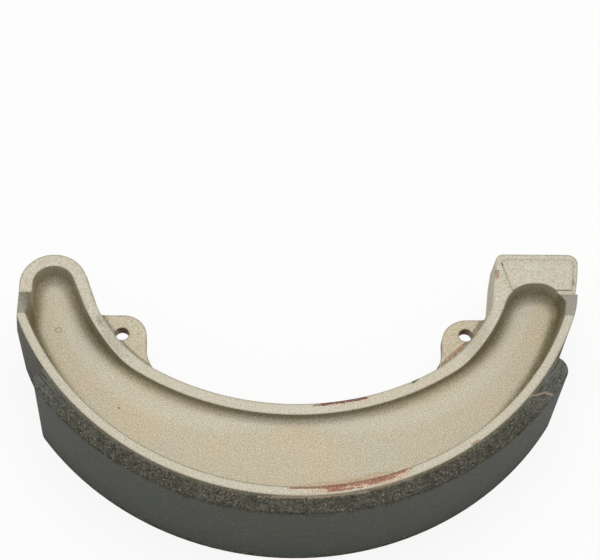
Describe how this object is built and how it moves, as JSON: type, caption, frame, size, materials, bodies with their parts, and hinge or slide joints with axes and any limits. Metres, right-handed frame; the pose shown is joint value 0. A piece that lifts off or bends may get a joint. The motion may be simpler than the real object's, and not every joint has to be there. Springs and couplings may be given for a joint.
{
  "type": "brake shoe",
  "caption": "Crescent drum brake shoe, cast aluminium with open pockets, bonded friction lining, round anchor end, flat cam pad and drilled spring tabs.",
  "frame": {"origin": "under the middle of the shoe's box, on the surface that the shoe lies on", "axes": "+Z along the drum's axis, +X from the round anchor end to the cam pad, +Y from the friction face to the drum's axis"},
  "size_m": [0.1466, 0.0756, 0.03],
  "materials": {
    "cast_aluminium": "satin",
    "friction_material": "matte"
  },
  "bodies": {
    "root": {"shoe_casting": "cast_aluminium", "friction_lining": "friction_material"}
  },
  "joints": []
}
